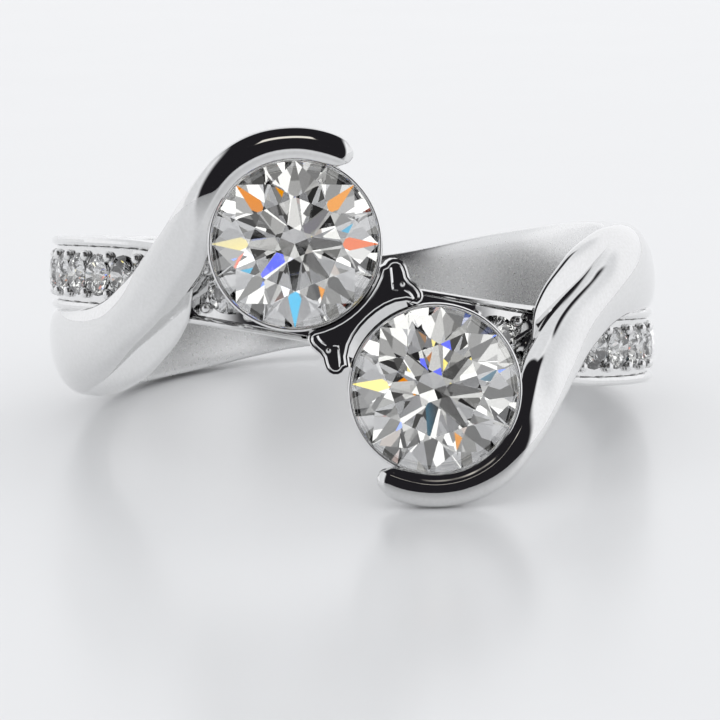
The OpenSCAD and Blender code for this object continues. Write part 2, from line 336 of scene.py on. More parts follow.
# %% The shank's table
# angle from the stones, upper edge, lower edge, outer radius, drop at the edges, radius of the back,
# how far the lower edge climbs from front to back, how many degrees the back lies further round
SHANK_ROWS = [
    (180, 1.55, -1.55, 9.77, 0.42, 8.36, 0.00, 0.0),
    (168, 1.74, -1.72, 9.79, 0.42, 8.36, 0.00, 0.0),
    (156, 1.97, -2.06, 9.85, 0.42, 8.36, 0.00, 0.0),
    (144, 2.18, -2.41, 9.93, 0.42, 8.36, 0.00, 0.0),
    (132, 2.35, -2.65, 10.00, 0.42, 8.36, 0.00, 0.0),
    (120, 2.38, -2.83, 9.98, 0.42, 8.36, 0.00, 0.0),
    (108, 2.15, -2.90, 9.94, 0.42, 8.36, 0.00, 0.0),
    (96, 1.10, -2.90, 9.88, 0.44, 8.36, 0.03, 0.0),
    (84, 0.45, -2.88, 9.84, 0.46, 8.36, 0.12, 0.0),
    (73, 0.38, -2.86, 9.84, 0.46, 8.36, 0.28, 0.0),
    (64, 0.35, -2.80, 9.92, 0.44, 8.36, 0.50, 0.0),
    (57, 0.42, -2.68, 9.92, 0.38, 8.36, 0.75, 0.0),
    (50, 0.60, -2.38, 9.93, 0.30, 8.50, 1.00, 0.0),
    (44.5, 0.80, -2.00, 9.96, 0.24, 8.80, 1.10, 0.2),
    (40.3, 1.00, -1.50, 10.02, 0.20, 9.10, 1.15, 0.6),
    (36.2, 1.25, -0.96, 10.14, 0.17, 9.35, 1.10, 1.4),
    (33.5, 1.50, -0.45, 10.28, 0.15, 9.60, 0.90, 2.1),
    (31.9, 1.75, -0.05, 10.42, 0.14, 9.85, 0.75, 2.7),
    (30.8, 2.05, 0.45, 10.62, 0.13, 10.00, 0.55, 3.1),
    (29.5, 2.35, 1.05, 10.86, 0.12, 10.10, 0.45, 3.2),
    (27.9, 2.70, 1.65, 11.22, 0.12, 10.20, 0.35, 3.2),
    (26.5, 3.00, 2.20, 11.35, 0.12, 10.30, 0.25, 3.2),
]
# part of the width from the lower edge, part of the drop that is made up there
SHANK_DOME = [
    (1.0, -0.9),
    (1.0, 0.0),
    (0.93, 0.52),
    (0.74, 0.9),
    (0.5, 1.0),
    (0.26, 0.9),
    (0.07, 0.52),
    (0.0, 0.0),
    (0.0, -0.9),
]
# the slant where the bore meets the sides, across and outwards, and the back's least width
BORE_SLANT = (0.12, 0.10)
BACK_WIDTH = 0.3
print("rows in the shank's table:", len(SHANK_ROWS))


# %% Sweep the shank
def shank_section(row, mirrored=False):
    """Outline of the shank's section at a row of its table, on the left or turned to the right."""
    angle, upper, lower, outer, drop, back, lift, shift = row
    across, outwards = BORE_SLANT
    behind = angle + shift
    points = [about_finger(behind, back, upper - across), about_finger(behind, back + outwards, upper)]
    for part, rise in SHANK_DOME:
        points.append(about_finger(angle, outer - drop * (1 - rise), lower + (upper - lower) * part))
    low = min(lower + lift, upper - BACK_WIDTH)
    points += [about_finger(behind, back + outwards, low), about_finger(behind, back, low + across)]
    points.append(about_finger(behind, back, (upper + low) / 2))
    if mirrored:
        points = [HALF_TURN @ p for p in points]
        # the same corner of the section keeps its place in the outline on both sides
        points = points[:-1][::-1] + points[-1:]
    return points


shank_rows = filled_in(SHANK_ROWS)
shank_sections = [shank_section(row) for row in shank_rows[::-1]]
shank_sections += [shank_section(row, mirrored=True) for row in shank_rows[1:]]
hand_over_metal(sweep(shank_sections), "shank", white_gold, levels=2, inside=8.5)
print("sections in the shank:", len(shank_sections))

# %% [markdown]
# ## The ribbons
# A ribbon is a broad dome at the shoulder and grows narrow as it climbs. Round the stone its top
# is flat, its outer edge rolls over like a quarter of a wire, and its inner side is a bright slope
# that falls to the bezel. Its table gives the two edges of its top, and its section is laid across
# them square to its run.

# %% The ribbon's table
# outer edge x, height, z, inner edge x, height, z, wall, crown, toe: how far the inner slope runs in
RIBBON_ROWS = [
    (-6.30, -7.28, -0.40, -6.28, -7.26, -2.20, 1.0, 0.10, 0.00),
    (-8.70, -4.65, -0.20, -8.54, -4.56, -2.58, 1.2, 0.32, 0.00),
    (-9.88, -1.22, -0.06, -9.58, -1.18, -2.84, 1.2, 0.42, 0.00),
    (-9.80, 1.74, 0.04, -9.50, 1.68, -2.87, 1.2, 0.46, 0.00),
    (-9.22, 3.96, 0.06, -8.90, 4.18, -2.70, 1.2, 0.46, 0.00),
    (-8.60, 5.50, 0.17, -8.20, 5.95, -2.00, 1.2, 0.34, 0.02),
    (-8.05, 6.34, 0.48, -7.55, 6.95, -1.25, 1.1, 0.32, 0.04),
    (-7.65, 6.92, 0.88, -6.98, 7.70, -0.68, 1.1, 0.30, 0.06),
    (-7.25, 7.56, 1.30, -6.40, 8.42, -0.08, 1.2, 0.28, 0.08),
    (-6.86, 8.32, 1.84, -5.92, 9.26, 0.66, 1.2, 0.27, 0.14),
    (-6.45, 9.26, 2.40, -5.52, 10.12, 1.30, 1.2, 0.26, 0.20),
    (-6.06, 10.10, 2.96, -5.26, 10.80, 2.10, 1.2, 0.24, 0.24),
    (-5.68, 10.70, 3.54, -5.05, 11.20, 2.85, 1.2, 0.21, 0.24),
    (-5.27, 11.06, 4.14, -4.72, 11.40, 3.56, 1.2, 0.18, 0.24),
    (-4.70, 11.16, 4.86, -4.24, 11.50, 4.28, 1.2, 0.17, 0.24),
    (-4.00, 11.22, 5.42, -3.62, 11.55, 4.76, 1.2, 0.17, 0.24),
    (-3.12, 11.24, 5.775, -2.92, 11.56, 5.06, 1.2, 0.17, 0.24),
    (-2.10, 11.24, 5.88, -2.12, 11.56, 5.16, 1.2, 0.17, 0.24),
    (-1.30, 11.24, 5.775, -1.45, 11.55, 5.06, 1.2, 0.17, 0.24),
    (-0.72, 11.23, 5.56, -0.96, 11.53, 4.92, 1.1, 0.16, 0.22),
    (-0.46, 11.20, 5.28, -0.66, 11.49, 4.80, 1.0, 0.14, 0.16),
    (-0.40, 11.08, 5.02, -0.48, 11.34, 4.76, 0.9, 0.08, 0.06),
]
# the shoulder's form turns into the head's from this row on, and over so many rows
CLIMB_FROM, CLIMB_OVER = 5, 8
# part of the width from the outer edge, part of the crown: at the shoulder and at the head
SHOULDER_DOME = [
    (0.0, 0.0),
    (0.03, 0.42),
    (0.15, 0.82),
    (0.40, 1.04),
    (0.68, 0.86),
    (0.88, 0.32),
    (0.985, -0.35),
]
HEAD_DOME = [
    (0.0, 0.0),
    (0.05, 0.62),
    (0.22, 1.03),
    (0.5, 1.0),
    (0.8, 0.45),
    (0.965, 0.08),
    (1.0, -0.02),
]
# at the shoulder and at the head: how far the outer wall leans in, as part of the width
WALL_TUCK = (0.12, 0.45)
# how deep the inner slope falls at the shoulder and, where it has no toe, at the head
SLOPE_FALL = (0.60, 0.04)
# how much deeper it falls at the head for its toe, and the part of the fall where it bends
TOE_FALL = 0.62
SLOPE_BEND = (0.65, 0.25)
print("rows in the ribbon's table:", len(RIBBON_ROWS))


# %% Lay the sections across the ribbon
def blended(pair, share):
    """The value at a share of the way from the first of a pair to the second."""
    return pair[0] * (1 - share) + pair[1] * share


def ribbon_section(row, along, headwards):
    """Outline across a ribbon whose edges are in row, at a share headwards of its climb."""
    outer = on_stone_line(*row[0:3])
    inner = on_stone_line(*row[3:6])
    wall, crown, toe = row[6:9]
    across = inner - outer
    up = across.cross(along).normalized()
    inward = across.normalized()
    # the walls stand square to the ribbon at the shoulder and run along the stone's axis at the head
    deep = up.lerp(Vector((0, -1, 0)), headwards).normalized()
    tuck = blended(WALL_TUCK, headwards)
    outline = [
        outer + tuck * across - wall * deep,
        outer + 0.3 * tuck * across - 0.45 * wall * deep,
        outer - 0.10 * deep,
    ]
    for shoulder_point, head_point in zip(SHOULDER_DOME, HEAD_DOME):
        part, rise = (blended(pair, headwards) for pair in zip(shoulder_point, head_point))
        outline.append(outer + part * across + rise * crown * up)
    fall = blended(SLOPE_FALL, headwards) + TOE_FALL * toe * headwards
    outline += [
        inner + 0.12 * toe * inward - blended(SLOPE_BEND, headwards) * fall * up,
        inner + toe * inward - fall * up,
        inner + (toe + 0.01) * inward - (fall + 0.25) * up,
        inner + toe * inward - wall * deep,
    ]
    return outline


ribbon_rows = filled_in(RIBBON_ROWS)
middle = [(on_stone_line(*row[0:3]) + on_stone_line(*row[3:6])) / 2 for row in ribbon_rows]
ribbon_sections = []
for k, row in enumerate(ribbon_rows):
    along = middle[min(k + 1, len(middle) - 1)] - middle[max(k - 1, 0)]
    headwards = min(max((k / SECTIONS_TO_A_ROW - CLIMB_FROM) / CLIMB_OVER, 0.0), 1.0)
    ribbon_sections.append(ribbon_section(row, along, headwards))
for side, turned in (("left", False), ("right", True)):
    hand_over_metal(sweep(ribbon_sections), side + "_ribbon", white_gold, levels=2, turned=turned)

# %% [markdown]
# ## The band of small stones
# Seen flat, the band is a strip with a rail along each edge and a channel between, and in the
# channel a row of round seats, each open to the finger through a small flared hole, the azure.
# That is the easy way to model it too: every cell is a square with a round hole, extruded from the
# square's edges to the circle, and the finished strip is bent round the finger in one move.

# %% The band's table and the places of its stones
# angle from the stones, upper edge, lower edge, outer radius
BAND_ROWS = [
    (0, 1.02, -1.02, 9.75),
    (6, 1.20, -0.95, 9.80),
    (12, 1.40, -0.80, 9.88),
    (20, 1.68, -0.58, 10.00),
    (28, 1.95, -0.38, 10.10),
    (36, 2.18, -0.22, 10.15),
    (46, 2.35, -0.08, 10.15),
    (58, 2.42, -0.02, 10.15),
    (72, 2.44, 0.00, 10.15),
    (86, 2.44, 0.00, 10.15),
    (98, 2.44, 0.00, 10.12),
    (106, 2.43, 0.05, 10.08),
    (115, 2.40, 0.30, 9.94),
    (125, 2.20, 0.60, 9.55),
]
BAND_END = 125.0
MELEE_R = 0.68
MELEE_PITCH = 8.3
HALF_PITCH = MELEE_PITCH / 2
# one small stone stands in the gap before the main stone, and the others follow in a row
MELEE_ANGLES = [25.3] + [41.1 + MELEE_PITCH * k for k in range(8)]
# how deep the girdles lie under the rails
MELEE_SINK = 0.15
print("small stones on a side:", len(MELEE_ANGLES), "to", round(MELEE_ANGLES[-1], 1), "degrees")

# %% Bend a flat strip round the finger
# half the width of the flat strip's channel, of its bore side and of the whole
CHANNEL, BORE_HALF, RAIL_OUT = 0.88, 0.96, 1.22
# how deep the channel and the bore side lie under the rails
RAIL_H, BORE_DEPTH = 0.18, 1.8
# down to this depth a seat keeps its size when the strip is bent, and under it the strip stretches
KEPT_DEPTH = 0.6


def bent(angle, across, depth):
    """Where a point of the flat strip goes: angle, distance from its middle, depth under the rails."""
    _, upper, lower, outer = at_angle(BAND_ROWS, abs(angle))
    if angle < 0:
        upper, lower = -lower, -upper
    half = (upper - lower) / 2
    z = across
    if abs(across) > CHANNEL:
        spread = (half - CHANNEL) / (RAIL_OUT - CHANNEL)
        z = math.copysign(CHANNEL + (abs(across) - CHANNEL) * spread, across)
    r = outer - depth
    if depth >= KEPT_DEPTH:
        spread = (outer - FINGER_R - KEPT_DEPTH) / (BORE_DEPTH - KEPT_DEPTH)
        r = outer - KEPT_DEPTH - (depth - KEPT_DEPTH) * spread
    return about_finger(angle, r, (upper + lower) / 2 + z)


# start, stop, number of steps and the angle of the stone that sits there, if any
stretches = [(a - HALF_PITCH, a + HALF_PITCH, 4, a) for a in MELEE_ANGLES]
stretches.append((MELEE_ANGLES[0] + HALF_PITCH, MELEE_ANGLES[1] - HALF_PITCH, 3, None))
stretches.append((MELEE_ANGLES[-1] + HALF_PITCH, BAND_END, 8, None))
stretches += [(-stop, -start, steps, seat and -seat) for start, stop, steps, seat in stretches]
stretches.append((HALF_PITCH - MELEE_ANGLES[0], MELEE_ANGLES[0] - HALF_PITCH, 16, None))
stretches.sort()
band_angles = [
    start + (stop - start) * k / steps for start, stop, steps, _ in stretches for k in range(steps)
] + [BAND_END]
print("stretches:", len(stretches), "angles:", len(band_angles))

# %% Draw the rails
bm = bmesh.new()
# from the bore's edge up the side, over the rail and down into the channel: across, depth
RAIL = [
    (BORE_HALF, BORE_DEPTH),
    (1.12, 1.5),
    (1.20, 1.0),
    (RAIL_OUT, 0.22),
    (1.20, 0.08),
    (1.13, 0.01),
    (1.04, 0.0),
    (0.95, 0.05),
    (0.90, 0.12),
    (CHANNEL, RAIL_H),
]
for side in (1, -1):
    sections = [[bent(angle, side * across, depth) for across, depth in RAIL] for angle in band_angles]
    run = draw_outline(bm, sections[0], closed=False)
    for section in sections[1:]:
        run = extrude_to(bm, run, section, closed=False)
print("faces in the rails:", len(bm.faces))

# %% A seat for each small stone
# radius of the hole and depth under the rails: mouth of the seat, its ledge, the throat, the azure
SEAT = [
    (MELEE_R + 0.012, RAIL_H),
    (MELEE_R + 0.012, 0.26),
    (0.40, 0.62),
    (0.34, 1.2),
    (0.48, BORE_DEPTH),
]
STEPS_TO_A_SIDE = 4


def seat_cell(bm, start, stop, seat_angle):
    """A cell of the channel from start to stop in degrees, with the seat and azure of a stone."""
    corners = [(start, -CHANNEL), (stop, -CHANNEL), (stop, CHANNEL), (start, CHANNEL)]
    square = []
    for (a0, u0), (a1, u1) in neighbours(corners):
        shares = [k / STEPS_TO_A_SIDE for k in range(STEPS_TO_A_SIDE)]
        square += [(a0 + (a1 - a0) * share, u0 + (u1 - u0) * share) for share in shares]
    outer = at_angle(BAND_ROWS, abs(seat_angle))[3]
    ring = draw_outline(bm, [bent(a, u, RAIL_H) for a, u in square])
    for hole_r, depth in SEAT:
        points = []
        for k in range(len(square)):
            # the circle starts at the same corner as the square does
            turn = math.radians(225 + 360 * k / len(square))
            degrees = math.degrees(hole_r * math.cos(turn) / (outer - depth))
            points.append(bent(seat_angle + degrees, hole_r * math.sin(turn), depth))
        ring = extrude_to(bm, ring, points)
    extrude_to(bm, ring, [bent(a, u, BORE_DEPTH) for a, u in square])


def plain_quads(bm, start, stop, steps, low, high, depth):
    """A stretch of plain faces between two distances across the band, at one depth."""
    for k in range(steps):
        a0 = start + (stop - start) * k / steps
        a1 = start + (stop - start) * (k + 1) / steps
        corners = [(a0, low), (a1, low), (a1, high), (a0, high)]
        bmesh.ops.contextual_create(bm, geom=[bm.verts.new(bent(a, u, depth)) for a, u in corners])


for start, stop, steps, seat in stretches:
    if seat is None:
        plain_quads(bm, start, stop, steps, -CHANNEL, CHANNEL, RAIL_H)
        plain_quads(bm, start, stop, steps, -CHANNEL, CHANNEL, BORE_DEPTH)
    else:
        seat_cell(bm, start, stop, seat)
    plain_quads(bm, start, stop, steps, -BORE_HALF, -CHANNEL, BORE_DEPTH)
    plain_quads(bm, start, stop, steps, CHANNEL, BORE_HALF, BORE_DEPTH)
bmesh.ops.remove_doubles(bm, verts=bm.verts, dist=0.002)
bmesh.ops.holes_fill(bm, edges=[e for e in bm.edges if e.is_boundary])
print("open edges left in the band:", sum(e.is_boundary for e in bm.edges))
hand_over_metal(bm, "stone_band", white_gold, sharp=30, inside=9.1)

# %% [markdown]
# ## Beads over the small stones
# The setter raises a bead of metal at each corner of a small stone and pushes it over the girdle.
# Each is a plain ball 0.37 mm wide, half sunk in the band. The tool leaves beads less bright than
# the polished rails, so they take the satin metal.

# %% Raise the beads
BEAD_R, BEAD_ACROSS, BEAD_DEPTH = 0.185, 0.6, MELEE_SINK - 0.03
bm = bmesh.new()
for sign in (1, -1):
    for i, angle in enumerate(MELEE_ANGLES):
        # stones in a row share the beads between them, so only the first two have some on both sides
        for turn in ([-HALF_PITCH, HALF_PITCH] if i < 2 else [HALF_PITCH]):
            for across in (-BEAD_ACROSS, BEAD_ACROSS):
                place = Matrix.Translation(bent(sign * (angle + turn), across, BEAD_DEPTH))
                bmesh.ops.create_icosphere(bm, subdivisions=3, radius=BEAD_R, matrix=place)
hand_over_metal(bm, "beads", satin)

# %% [markdown]
# ## The bezels
# A bezel is a cup of thin sheet with its rim pushed over the girdle. It is round, so its section is
# drawn once, as a thin closed outline, and spun a full turn about the stone's line.

# %% Spin a bezel
# radius, height over the girdle
BEZEL_OUTLINE = [
    (2.555, 0.140),
    (2.580, 0.215),
    (2.612, 0.252),
    (2.640, 0.262),
    (2.668, 0.246),
    (2.692, 0.205),
    (2.705, 0.130),
    (2.705, -0.300),
    (2.660, -0.700),
    (2.480, -1.150),
    (2.250, -1.580),
    (2.080, -1.580),
    (2.030, -1.400),
    (2.300, -0.900),
    (2.560, -0.180),
]
# moves what was made about the Z axis, with its girdle at 0, to the upper stone's place
ON_ITS_BACK = Matrix.Rotation(math.radians(90), 4, "X")
ON_STONE = Matrix.Translation((STONE_AT[0], -GIRDLE_H, STONE_AT[1])) @ ON_ITS_BACK


def spun(outline, steps):
    """The outline spun a full turn about its Z axis, merged where the turn closes."""
    bm = bmesh.new()
    ring = draw_outline(bm, [Vector((r, 0, h)) for r, h in outline])
    geom = ring + edges_of(bm, ring)
    bmesh.ops.spin(bm, geom=geom, cent=(0, 0, 0), axis=(0, 0, 1), angle=math.tau, steps=steps, use_merge=True)
    bmesh.ops.remove_doubles(bm, verts=bm.verts, dist=0.0005)
    bmesh.ops.recalc_face_normals(bm, faces=bm.faces)
    return bm


for name, turned in (("upper", False), ("lower", True)):
    bm = spun(BEZEL_OUTLINE, 96)
    bm.transform(ON_STONE)
    hand_over_metal(bm, "bezel_" + name, bright_cut, turned=turned, sharp=50)

# %% [markdown]
# ## The bar between the bezels
# A small bar with two lobes at each end joins the bezels, its sides hollowed to their curve. It is
# drawn as one outline and extruded up, with a bevel along its lower side, and a fine line is
# engraved along the edge of its top. The second half of the outline is the first given half a turn.

# %% Draw the bar and carve its top
# the lobed right end, from the upper bezel clockwise to the lower bezel: x, z
BAR_LOBES = [
    (0.62, 1.62),
    (0.70, 1.73),
    (0.83, 1.80),
    (1.00, 1.80),
    (1.14, 1.73),
    (1.24, 1.60),
    (1.30, 1.44),
    (1.34, 1.27),
    (1.43, 1.14),
    (1.56, 1.03),
    (1.68, 0.91),
    (1.76, 0.77),
    (1.78, 0.64),
    (1.74, 0.52),
    (1.66, 0.45),
]
BAR_TOP, BAR_DEPTH, BAR_BEVEL = 11.43, 1.9, 0.10
# the bar's sides lie this far from the middles of the stones, and its lower top edge so much further off
BAR_SIDE_R, BAR_LIP = 2.72, 0.25
# each inset's width and rise: the bevelled rim, a flat, both walls of the engraved line, a flat
RIM_RISE, LINE_DEPTH = 0.024, 0.017
BAR_INSETS = [(0.05, RIM_RISE), (0.05, 0.0), (0.035, -LINE_DEPTH), (0.035, LINE_DEPTH), (0.03, 0.0)]
BAR_FACE = BAR_TOP + RIM_RISE
# a round grain on the face near each end: its place in x and z, its radius and its height
GRAIN_AT, GRAIN_R, GRAIN_H = (1.14, 1.02), 0.085, 0.02


def beside_stone(middle, start, stop, lip=0.0, steps=10):
    """Points along the bar's side, on an arc about a stone's middle between two directions in degrees."""
    points = []
    for k in range(steps + 1):
        a = math.radians(start + (stop - start) * k / steps)
        r = BAR_SIDE_R + lip * (1 - (2 * k / steps - 1) ** 4)
        points.append((middle[0] + r * math.cos(a), middle[1] + r * math.sin(a)))
    return points


def bar_outline(height, lip):
    """The bar's outline at a height, its lower side drawn in by lip."""
    upper_side = beside_stone(STONE_AT, -78, -15)
    lower_side = beside_stone((-STONE_AT[0], -STONE_AT[1]), 102, 165, lip)
    outline = upper_side + BAR_LOBES + lower_side + [(-x, -z) for x, z in BAR_LOBES]
    return [on_stone_line(x, height, z) for x, z in outline]


bm = bmesh.new()
foot = draw_outline(bm, bar_outline(BAR_TOP - BAR_DEPTH, 0.0))
rim_low = extrude_to(bm, foot, bar_outline(BAR_TOP - BAR_BEVEL, 0.0))
rim_top = extrude_to(bm, rim_low, bar_outline(BAR_TOP, BAR_LIP))
bm.faces.new(foot)
top = bm.faces.new(rim_top)
bmesh.ops.recalc_face_normals(bm, faces=bm.faces)
for thickness, depth in BAR_INSETS:
    bmesh.ops.inset_region(bm, faces=[top], thickness=thickness, depth=depth, use_even_offset=True)
bmesh.ops.triangulate(bm, faces=[top])
for side in (1, -1):
    spot = Matrix.Translation(on_stone_line(side * GRAIN_AT[0], BAR_FACE + GRAIN_H, side * GRAIN_AT[1]))
    bmesh.ops.create_uvsphere(bm, u_segments=20, v_segments=12, radius=GRAIN_R, matrix=spot)
hand_over_metal(bm, "bar", white_gold, sharp=20)

# %% Chase the fine ridges in its lobes
BAR_RIDGES = [
    [(0.78, 1.53), (0.81, 1.24), (0.83, 0.98), (0.845, 0.87), (0.92, 0.855), (1.00, 0.855)],
    [(1.20, 0.85), (1.34, 0.77), (1.43, 0.67), (1.48, 0.57)],
]
RIDGE_HALF, RIDGE_H, RIDGE_ROOT = 0.035, 0.028, 0.1


def ridge(points):
    """A fine ridge with sloping sides along a line drawn on the bar's face."""
    line = [on_stone_line(x, BAR_FACE, z) for x, z in points]
    out = Vector((0, -1, 0))
    sections = []
    for k, p in enumerate(line):
        along = line[min(k + 1, len(line) - 1)] - line[max(k - 1, 0)]
        side = RIDGE_HALF * along.cross(out).normalized()
        sections.append([p + side, p + RIDGE_H * out, p - side, p - RIDGE_ROOT * out])
    return sweep(sections)


for k, points in enumerate(BAR_RIDGES):
    for side, turned in (("right", False), ("left", True)):
        name = "bar_ridge_%s_%d" % (side, k + 1)
        hand_over_metal(ridge(points), name, bright_cut, turned=turned, sharp=30)

# %% [markdown]
# ## Cutting the brilliants
# A brilliant is cut as it is here: a round blank, and one flat after another ground away. Each
# facet is a plane through three known points. Bisecting the blank by that plane and closing the
# hole is the cut. Thirty-three cuts make the crown and twenty-four the pavilion.

# %% Grind a brilliant from a blank
# parts of the stone's radius: the table's corners, the stars' and the lower halves' points, and
# the height of the girdle over its lower edge
TABLE, STAR, LOWER, GIRDLE = 0.56, 0.77, 0.24, 0.035
CROWN = math.tan(math.radians(34.5))
PAVILION = math.tan(math.radians(40.75))
# the eight main facets stand this far apart in degrees
MAIN, HALF_MAIN = 45, 22.5


def rim(part, degrees, height):
    """The point at a part of the radius, a direction in degrees and a height."""
    a = math.radians(degrees)
    return Vector((part * math.cos(a), part * math.sin(a), height))


def grind(bm, a, b, c):
    """Cuts away what lies outside the plane through three points and closes the cut."""
    normal = (b - a).cross(c - a).normalized()
    if normal.dot(a) < 0:
        normal.negate()
    geom = bm.verts[:] + bm.edges[:] + bm.faces[:]
    cut = bmesh.ops.bisect_plane(bm, geom=geom, dist=1e-6, plane_co=a, plane_no=normal, clear_outer=True)
    edges = [g for g in cut["geom_cut"] if isinstance(g, bmesh.types.BMEdge)]
    if edges:
        bmesh.ops.edgeloop_fill(bm, edges=edges)


def brilliant(radius, segments, twist=0.0):
    """A round brilliant with its girdle on the XY plane and its table up, turned by twist degrees."""
    bm = bmesh.new()
    bmesh.ops.create_cone(bm, cap_ends=True, segments=segments, radius1=1, radius2=1, depth=2.4)
    table_h = (1 - TABLE) * CROWN + GIRDLE
    star_h = (1 - STAR * math.cos(math.radians(HALF_MAIN))) * CROWN + GIRDLE
    lower_h = -(1 - LOWER * math.cos(math.radians(HALF_MAIN))) * PAVILION
    grind(bm, rim(TABLE, 0, table_h), rim(TABLE, 90, table_h), rim(TABLE, 180, table_h))
    for k in range(8):
        a = MAIN * k
        left, right = a + HALF_MAIN, a - HALF_MAIN
        grind(bm, rim(1, a, GIRDLE), rim(STAR, left, star_h), rim(STAR, right, star_h))
        grind(bm, rim(1, a, 0), rim(LOWER, left, lower_h), rim(LOWER, right, lower_h))
    for k in range(8):
        a, left = MAIN * k, MAIN * k + HALF_MAIN
        grind(bm, rim(TABLE, a, table_h), rim(TABLE, a + MAIN, table_h), rim(STAR, left, star_h))
        for b in (a, a + MAIN):
            grind(bm, rim(1, b, GIRDLE), rim(1, left, GIRDLE), rim(STAR, left, star_h))
            grind(bm, rim(1, b, 0), rim(1, left, 0), rim(LOWER, left, lower_h))
    bmesh.ops.scale(bm, vec=(radius, radius, radius), verts=bm.verts)
    bmesh.ops.rotate(bm, verts=bm.verts, cent=(0, 0, 0), matrix=Matrix.Rotation(math.radians(twist), 3, "Z"))
    bmesh.ops.recalc_face_normals(bm, faces=bm.faces)
    return bm


print("table", TABLE, "of the width, crown slope", round(CROWN, 3), "pavilion slope", round(PAVILION, 3))


# %% Diamond
def diamond(name, tint):
    """Clear diamond: its strong bending of light does the rest, with a breath of colour."""
    material, tree, shader = new_material(name)
    coords = add(tree, "ShaderNodeTexCoord")["Object"]
    clouds = add(tree, "ShaderNodeTexNoise", {"Vector": coords, "Scale": 700.0})["Fac"]
    breath = ramp(tree, clouds, [(0.35, tint), (0.65, (1, 1, 1))])
    fill(shader, {"Transmission Weight": 1.0, "IOR": 2.42, "Roughness": 0.0, "Base Color": breath})
    return material


clear_diamond = diamond("diamond", (0.97, 0.975, 0.97))
small_diamond = diamond("melee_diamond", (0.95, 0.96, 0.96))
print("stones are cut from:", clear_diamond.name, small_diamond.name)

# %% Set the main stones
for node, twist, turned in (("stone_upper", 0.0, False), ("stone_lower", -4.0, True)):
    bm = brilliant(STONE_R, 96, twist)
    bm.transform(ON_STONE)
    hand_over(bm, node + "_cut", clear_diamond, "diamond", [node], turned=turned, smooth=False)

# %% Set the small stones
# each is turned by so much more than the one before it, as no setter lines them up
MELEE_TWIST = 13.0
for side, turned in (("left", False), ("right", True)):
    for i, angle in enumerate(MELEE_ANGLES):
        _, upper, lower, outer = at_angle(BAND_ROWS, angle)
        bm = brilliant(MELEE_R, 32, MELEE_TWIST * i)
        place = Matrix.Translation(about_finger(angle, outer - MELEE_SINK, (upper + lower) / 2))
        bm.transform(place @ Matrix.Rotation(math.radians(-angle), 4, "Z") @ ON_ITS_BACK)
        node = "melee_%s_%d" % (side, i + 1)
        hand_over(bm, node + "_cut", small_diamond, "melee_diamond", [node], turned=turned, smooth=False)

# %% [markdown]
# ## The table top
# The ring lies on a glossy white sheet. It is a plain square, and a faint mottle in its colour and
# gloss keeps it from looking flat.

# %% The floor
floor_material, tree, shader = new_material("white_sheet")
coords = add(tree, "ShaderNodeTexCoord")["Object"]
mottle = add(tree, "ShaderNodeTexNoise", {"Vector": coords, "Scale": 60.0})["Fac"]
sheet_tone = ramp(tree, mottle, [(0.0, (0.80, 0.805, 0.81)), (1.0, (0.83, 0.835, 0.84))])
sheen = add(tree, "ShaderNodeMapRange", {"Value": mottle, "To Min": 0.20, "To Max": 0.26})["Result"]
fill(shader, {"Base Color": sheet_tone, "Roughness": sheen})
bm = bmesh.new()
bmesh.ops.create_grid(bm, x_segments=1, y_segments=1, size=1.2)
mesh = bpy.data.meshes.new("floor")
bm.to_mesh(mesh)
bm.free()
floor = new_object("floor", mesh)
floor.data.materials.append(floor_material)
print("floor", [round(v, 2) for v in floor.dimensions])


# %% [markdown]
# ## The tent and the dark room
# A polished ring shows its surroundings more than itself. It stands in a white tent, and the camera
# looks in from a dark room. So the world is white except towards the camera and above it, and the
# dark there gives the flat tops of the ribbons their black.

# %% Helpers for the surroundings
def maths(tree, operation, *values):
    """One sum on a few values or sockets."""
    return add(tree, "ShaderNodeMath", dict(enumerate(values)), operation=operation)["Value"]


def mixed(tree, factor, below, above):
    """The colour below where factor is 0, the colour above where it is 1."""
    sockets = {"Factor": factor, 6: below, 7: above}
    return add(tree, "ShaderNodeMix", sockets, data_type="RGBA")[2]


def eased(tree, value, start, stop):
    """0 before start, 1 after stop and a soft step between them."""
    sockets = {"Value": value, "From Min": start, "From Max": stop}
    return add(tree, "ShaderNodeMapRange", sockets, interpolation_type="SMOOTHSTEP")["Result"]


def towards(azimuth, elevation):
    """The direction at an azimuth from the front, to the right, and an elevation in degrees."""
    a, e = math.radians(azimuth), math.radians(elevation)
    return Vector((math.sin(a) * math.cos(e), -math.cos(a) * math.cos(e), math.sin(e)))


print("straight ahead:", tuple(towards(0, 0)))

# %% The dark room
# it lies in front, between two sides, and its ceiling reaches just past the top of the tent
ROOM_HALF_WIDTH, SIDE_SOFTNESS = 0.66, 0.10
ROOM_TOP, TOP_SOFTNESS = 0.24, 0.05
# for light that falls on the sheet the room is mostly closed off, so that the shadows stay light
CLOSED_OFF = 0.9
world = bpy.data.worlds.new("tent")
bpy.context.scene.world = world
world.use_nodes = True
tree = world.node_tree
direction = add(tree, "ShaderNodeTexCoord")["Generated"]
xyz = add(tree, "ShaderNodeSeparateXYZ", {"Vector": direction})
ray = add(tree, "ShaderNodeLightPath")
sideways = maths(tree, "ABSOLUTE", xyz["X"])
in_width = eased(tree, sideways, ROOM_HALF_WIDTH + SIDE_SOFTNESS, ROOM_HALF_WIDTH - SIDE_SOFTNESS)
in_front = eased(tree, xyz["Y"], ROOM_TOP + TOP_SOFTNESS, ROOM_TOP - TOP_SOFTNESS)
off_sheet = maths(tree, "MINIMUM", ray["Diffuse Depth"], 1.0)
still_open = maths(tree, "MULTIPLY_ADD", off_sheet, -CLOSED_OFF, 1.0)
in_room = maths(tree, "MULTIPLY", maths(tree, "MULTIPLY", in_width, in_front), still_open)
print("dark room: half width", ROOM_HALF_WIDTH, "top", ROOM_TOP)

